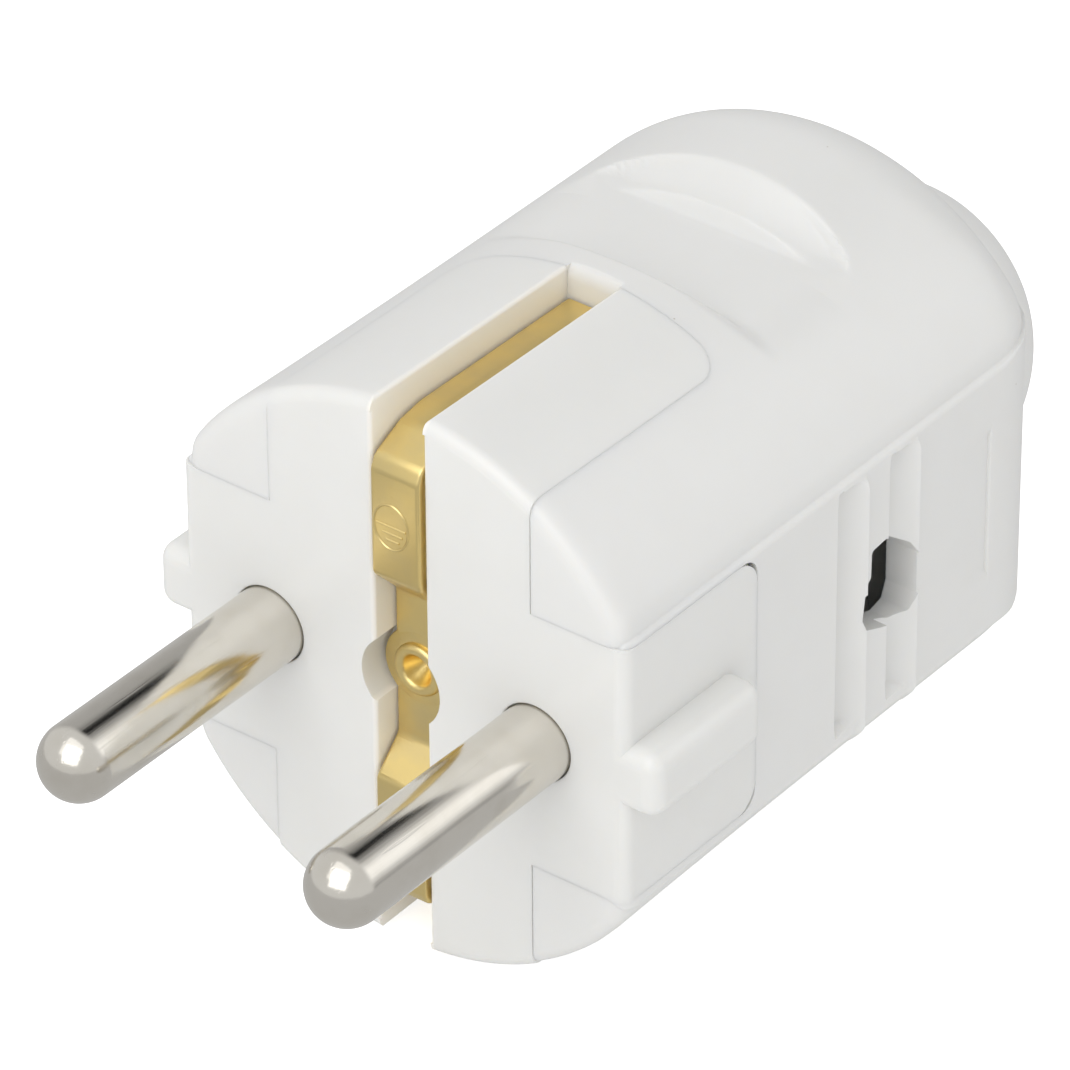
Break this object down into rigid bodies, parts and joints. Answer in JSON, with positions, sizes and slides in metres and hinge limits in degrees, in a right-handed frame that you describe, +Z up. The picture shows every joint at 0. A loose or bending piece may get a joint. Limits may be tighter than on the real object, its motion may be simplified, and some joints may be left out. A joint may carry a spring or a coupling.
{
  "type": "type f plug",
  "caption": "Earthed mains plug with round pins, a cross-shaped contact carrier with a brass earth strip, and a round white hood with flats, finger scoops and a rear cable entry.",
  "frame": {"origin": "middle of the engagement face, halfway between the two pins", "axes": "+Y back to the cable end, so the pins point along -Y; +X to the right pin; +Z up, across one earth contact"},
  "size_m": [0.0358, 0.071, 0.0364],
  "materials": {
    "hood_plastic": "smooth moulded, warm white, half gloss",
    "carrier_plastic": "smooth moulded, warm white, half gloss",
    "plate_plastic": "brown insulating sheet",
    "brass": "bright rolled brass",
    "nickel": "nickel plated, polished, fine turning marks",
    "screw_steel": "zinc plated"
  },
  "bodies": {
    "root": {"hood": "hood_plastic", "contact_carrier": "carrier_plastic", "retaining_plate": "plate_plastic", "earth_strip": "brass", "earth_rivet": "brass", "earth_rivet_washer": "brass", "earth_terminal": "brass", "earth_terminal_screw": "screw_steel", "earth_pressure_plate": "screw_steel", "pin_left": "nickel", "pin_right": "nickel", "pin_left_screw": "screw_steel", "pin_right_screw": "screw_steel", "pin_left_pressure_plate": "screw_steel", "pin_right_pressure_plate": "screw_steel", "cord_clamp_bar": "carrier_plastic", "cord_clamp_screw_left": "screw_steel", "cord_clamp_screw_right": "screw_steel", "cord_clamp_nut_left": "screw_steel", "cord_clamp_nut_right": "screw_steel"}
  },
  "joints": []
}
